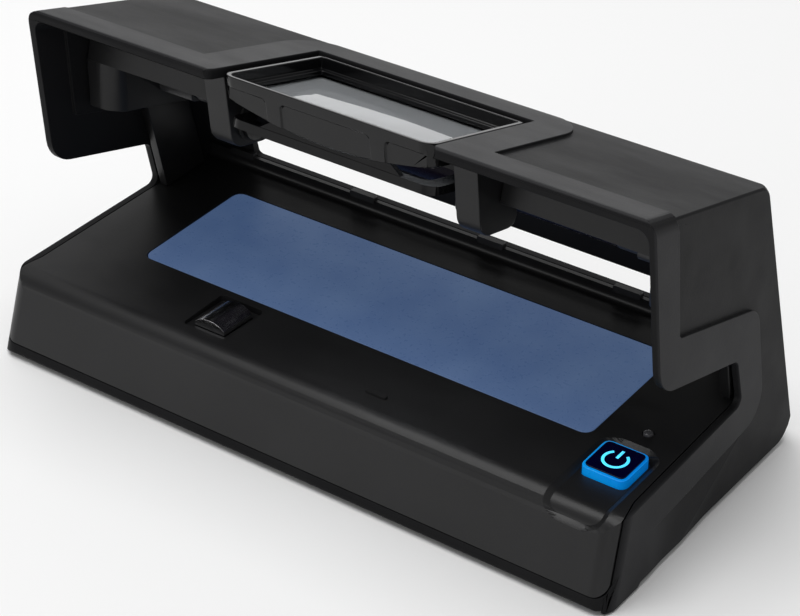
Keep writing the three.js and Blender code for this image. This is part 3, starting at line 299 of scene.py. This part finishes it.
casing = shell_plastic("casing_plastic")
base = grained_plastic("base_plastic", (0.010, 0.010, 0.0107), (0.013, 0.013, 0.0137), 0.42)
deck = grained_plastic("deck_plastic", (0.010, 0.010, 0.0106), (0.013, 0.013, 0.0137), 0.34, 0.28)
inner = grained_plastic("inner_plastic", (0.007, 0.007, 0.0075), (0.010, 0.010, 0.0106), 0.38)
gloss = glossy_plastic("gloss_black", (0.004, 0.004, 0.0045), (0.007, 0.007, 0.0075))
# Black moulding for the black parts; on the lamp caps and reflector it is painted shade.
moulded_and_painted_shade = plain_moulding("black_moulding_and_painted_shade", (0.014, 0.014, 0.015))
white_moulding = plain_moulding("white_moulding", (0.72, 0.72, 0.70), 0.35)
foot_rubber = rubber_skin("foot_rubber", (0.012, 0.012, 0.012))
steel = plated_steel("zinc_plated_steel", (0.45, 0.46, 0.48))
bright_metal = plated_steel("bright_aluminium", (0.72, 0.73, 0.74), 0.18)
head_metal = polished_head("polished_head")
lens = lens_glass("lens_plastic")
board = circuit_board("circuit_board")
button_blue = lit_plastic(
    "button_blue", (0.0, 0.26, 0.90), (0.0, 0.38, 1.0), (0.0, 0.26, 1.0), (0.0, 0.42, 1.0), 0.22)
legend_navy = glossy_plastic("legend_navy", (0.0, 0.0, 0.018), (0.0, 0.0, 0.035), 0.2)
legend_cyan = lit_plastic(
    "legend_cyan", (0.05, 0.5, 0.9), (0.06, 0.6, 1.0), (0.05, 0.60, 1.0), (0.08, 0.72, 1.0), 1.0)
window_blue = lit_plastic(
    "window_blue", (0.05, 0.08, 0.15), (0.06, 0.09, 0.17), (0.09, 0.16, 0.34), (0.12, 0.20, 0.38),
    0.45)
lamp_violet = glossy_plastic("lamp_dark_glass", (0.003, 0.002, 0.006), (0.005, 0.003, 0.009), 0.22, 0.05)
indicator = glossy_plastic("indicator_dome", (0.05, 0.05, 0.055), (0.08, 0.08, 0.085), 0.1)


# ---- Finishing the CAD nodes --------------------------------------------------------------------


def dress(name, material, edge, segments=3, flatten=0.6, clamp=True):
    """Gives a CAD node its material and softens its edges by a few tenths of a millimetre.

    Faces within flatten degrees of each other are joined first. With clamp, very short edges
    hold the whole node's softening back, and without it a few softened faces may fold.
    """
    node = nodes[name]
    node.data.materials.clear()
    node.data.materials.append(material)
    for face in node.data.polygons:
        face.material_index = 0
    node.data.shade_smooth()
    soften(node, edge, segments, flatten, clamp)


def soften(thing, edge, segments, flatten, clamp):
    weld = thing.modifiers.new("weld", "WELD")
    weld.merge_threshold = WELD_DISTANCE
    flat = thing.modifiers.new("flat", "DECIMATE")
    flat.decimate_type = "DISSOLVE"
    flat.angle_limit = math.radians(flatten)
    thing.modifiers.new("split", "TRIANGULATE")
    bevel = thing.modifiers.new("edges", "BEVEL")
    bevel.width = edge * MM
    bevel.segments = segments
    bevel.limit_method = "ANGLE"
    bevel.angle_limit = EDGE_ANGLE
    bevel.use_clamp_overlap = clamp
    bevel.miter_outer = "MITER_ARC"
    normals = thing.modifiers.new("normals", "WEIGHTED_NORMAL")
    normals.weight = 80
    normals.keep_sharp = False


def dress_all():
    dress("outer_shell", casing, 0.2, flatten=0.05, clamp=False)
    dress("deck_cover", deck, 0.3)
    dress("base_plate", base, 0.25, clamp=False)
    for name in nodes:
        if name.startswith("rubber_foot"):
            dress(name, foot_rubber, 0.25)
        elif "screw" in name:
            dress(name, steel, 0.08, segments=2)
        elif name.startswith("friction_washer"):
            dress(name, foot_rubber, 0.08, segments=2)
        elif name.startswith("pivot_pin"):
            dress(name, steel, 0.15)
        # Painted shade: the lamp caps take the black moulding so that they read as the shade under the
        # trough, not as their own bright metal.
        elif name.startswith("lamp_cap"):
            dress(name, moulded_and_painted_shade, 0.15)
        elif name.startswith("lamp_holder"):
            dress(name, moulded_and_painted_shade, 0.3)
        elif name in ("backlight_board", "main_board", "switch_board"):
            dress(name, board, 0.05, segments=1)
        elif name in ("tact_switch", "switch_plunger", "buzzer", "ballast_transformer", "dc_inlet",
                      "head_carrier", "lens_retainer"):
            dress(name, moulded_and_painted_shade, 0.15, segments=2)
        elif name.startswith(("leg_cover", "pivot_bracket")):
            dress(name, inner, 0.3, clamp=False)
        elif name == "hood_liner":
            dress(name, inner, 0.2, clamp=False)
    dress("magnifier_frame", gloss, 0.3, clamp=False)
    dress("magnifier_cradle", gloss, 0.4)
    dress("magnifier_lens", lens, 0.2)
    # Painted shade: the lamp reflector takes the black moulding so that it reads as the shade under the
    # trough, not as its own bright metal.
    dress("lamp_reflector", moulded_and_painted_shade, 0.1)
    dress("uv_lamp_tube", lamp_violet, 0.4)
    dress("backlight_window", window_blue, 0.15)
    dress("backlight_tray", white_moulding, 0.3)
    dress("magnetic_head", head_metal, 0.2)
    dress("indicator_lens", indicator, 0.05)
    dress("power_button_cap", button_blue, 0.35)
    dress("power_button_legend", legend_navy, 0.12)


# ---- Added pieces -------------------------------------------------------------------------------


def new_piece(name, mesh_builder, material, body):
    mesh = bpy.data.meshes.new(name)
    work = bmesh.new()
    mesh_builder(work)
    bmesh.ops.recalc_face_normals(work, faces=work.faces)
    work.to_mesh(mesh)
    work.free()
    mesh.shade_smooth()
    thing = bpy.data.objects.new(name, mesh)
    bpy.context.scene.collection.objects.link(thing)
    mesh.materials.append(material)
    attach(thing, body)


def arc_band(work, to_world, inner_radius, outer_radius, start, stop, thick, steps=48):
    """A flat band along an arc, as a closed solid standing on the plane of to_world."""
    rows = []
    for i in range(steps + 1):
        angle = start + (stop - start) * i / steps
        ring = []
        for radius, height in ((inner_radius, 0), (outer_radius, 0),
                               (outer_radius, thick), (inner_radius, thick)):
            point = Vector((radius * math.cos(angle), radius * math.sin(angle), height))
            ring.append(work.verts.new(to_world @ point))
        rows.append(ring)
    for a, b in zip(rows, rows[1:]):
        for k in range(4):
            work.faces.new((a[k], a[(k + 1) % 4], b[(k + 1) % 4], b[k]))
    work.faces.new(rows[0])
    work.faces.new(rows[-1])


def bar(work, to_world, size):
    for v in bmesh.ops.create_cube(work, size=1.0)["verts"]:
        v.co = to_world @ Vector((v.co.x * size[0], v.co.y * size[1], v.co.z * size[2]))


SYMBOL_INNER = 2.9 * MM
SYMBOL_OUTER = 3.7 * MM
SYMBOL_THICK = 0.06 * MM
SYMBOL_GAP = math.radians(38)
SYMBOL_LIFT = 0.19 * MM
FILM_THICK = 0.4 * MM
STROKE_WIDE = 0.8 * MM
STROKE_LONG = 3.4 * MM
STROKE_MIDDLE = 2.3 * MM


def power_symbol():
    """A plain stand-by symbol on the button's film: an open ring and a stroke."""
    low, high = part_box("power_button_legend")
    slope = math.atan2(high.z - low.z - FILM_THICK, high.y - low.y)
    centre = (low + high) / 2 + Vector((0, 0, SYMBOL_LIFT))
    plane = Matrix.Translation(centre) @ Matrix.Rotation(slope, 4, "X")
    start = math.pi / 2 + SYMBOL_GAP
    stop = start + 2 * (math.pi - SYMBOL_GAP)

    def ring(work):
        arc_band(work, plane, SYMBOL_INNER, SYMBOL_OUTER, start, stop, SYMBOL_THICK)

    def stroke(work):
        middle = Matrix.Translation((0, STROKE_MIDDLE, SYMBOL_THICK / 2))
        bar(work, plane @ middle, (STROKE_WIDE, STROKE_LONG, SYMBOL_THICK))

    new_piece("power_symbol_ring", ring, legend_cyan, "power_button")
    new_piece("power_symbol_stroke", stroke, legend_cyan, "power_button")


PIN_RADIUS = 1.0 * MM
PIN_ROOT_RADIUS = 0.85 * MM
PIN_OVERRUN = 0.6 * MM
PIN_SETBACK = 1.6 * MM


def inlet_pin():
    """The contact pin in the middle of the inlet's socket."""
    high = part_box("dc_inlet")[1]
    socket = [o for o in frame["record"]["physics"]["openings"] if o["name"] == "inlet_socket"][0]
    a, b = (Vector(corner) for corner in socket["box_m"])
    centre = (a + b) / 2
    front = a.y - PIN_OVERRUN
    back = high.y - PIN_SETBACK

    def pin(work):
        turn = Matrix.Translation((centre.x, (front + back) / 2, centre.z)) @ Matrix.Rotation(
            math.pi / 2, 4, "X")
        bmesh.ops.create_cone(
            work, cap_ends=True, segments=20, radius1=PIN_RADIUS, radius2=PIN_ROOT_RADIUS,
            depth=back - front, matrix=turn)

    new_piece("inlet_contact_pin", pin, bright_metal, "casing")


# ---- Stage, light and camera --------------------------------------------------------------------


def floor():
    mesh = bpy.data.meshes.new("floor")
    work = bmesh.new()
    bmesh.ops.create_grid(work, x_segments=1, y_segments=1, size=6)
    work.to_mesh(mesh)
    work.free()
    plane = bpy.data.objects.new("floor", mesh)
    bpy.context.scene.collection.objects.link(plane)
    surface = Surface("pale_floor", Specular_IOR_Level=0.2)
    surface.colour(surface.noise(3, 2), (0.86, 0.86, 0.86), (0.89, 0.89, 0.89))
    surface.roughness(surface.noise(40, 2), 0.75, 0.85)
    mesh.materials.append(surface.material)


def area_light(name, place, aim, size, power):
    data = bpy.data.lights.new(name, "AREA")
    data.shape = "RECTANGLE"
    data.size, data.size_y = size
    data.energy = power
    lamp = bpy.data.objects.new(name, data)
    bpy.context.scene.collection.objects.link(lamp)
    lamp.location = place
    lamp.rotation_euler = (Vector(aim) - Vector(place)).to_track_quat("-Z", "Y").to_euler()


def studio():
    bpy.context.scene.view_settings.view_transform = "Standard"
    world = bpy.data.worlds.new("studio")
    bpy.context.scene.world = world
    world.use_nodes = True
    background = world.node_tree.nodes["Background"]
    background.inputs["Color"].default_value = (1, 1, 1, 1)
    background.inputs["Strength"].default_value = 0.36
    area_light("overhead", (-0.2, 0.0, 1.2), (0, 0, 0.04), (1.2, 0.9), 13)
    area_light("rear_left", (-1.5, 1.95, 0.5), (0, 0, 0.08), (2.0, 0.9), 5.6)
    area_light("front_left", (-0.9, -1.5, 0.4), (0, 0, 0.05), (1.2, 0.5), 3)
    area_light("front_right", (0.9, -1.3, 0.35), (0, 0, 0.05), (0.8, 0.5), 1.1)


FOCAL_LENGTH = 106.52
CAMERA_PLACE = (0.3370, -0.45703, 0.3754)
CAMERA_YAW = math.radians(36.07)
CAMERA_PITCH = math.radians(31.386)
CAMERA_ROLL = math.radians(0.468)


def camera():
    data = bpy.data.cameras.new("camera")
    data.sensor_width = 36
    data.lens = FOCAL_LENGTH
    data.clip_start, data.clip_end = 0.01, 20
    eye = bpy.data.objects.new("camera", data)
    bpy.context.scene.collection.objects.link(eye)
    forward = Vector((
        -math.sin(CAMERA_YAW) * math.cos(CAMERA_PITCH),
        math.cos(CAMERA_YAW) * math.cos(CAMERA_PITCH),
        -math.sin(CAMERA_PITCH)))
    level = Vector((math.cos(CAMERA_YAW), math.sin(CAMERA_YAW), 0))
    upward = level.cross(forward)
    right = level * math.cos(CAMERA_ROLL) + upward * math.sin(CAMERA_ROLL)
    up = upward * math.cos(CAMERA_ROLL) - level * math.sin(CAMERA_ROLL)
    turn = Matrix((right, up, -forward)).transposed().to_4x4()
    eye.matrix_world = Matrix.Translation(CAMERA_PLACE) @ turn
    bpy.context.scene.camera = eye


# ---- Build --------------------------------------------------------------------------------------

camera()
dress_all()
power_symbol()
inlet_pin()
floor()
studio()
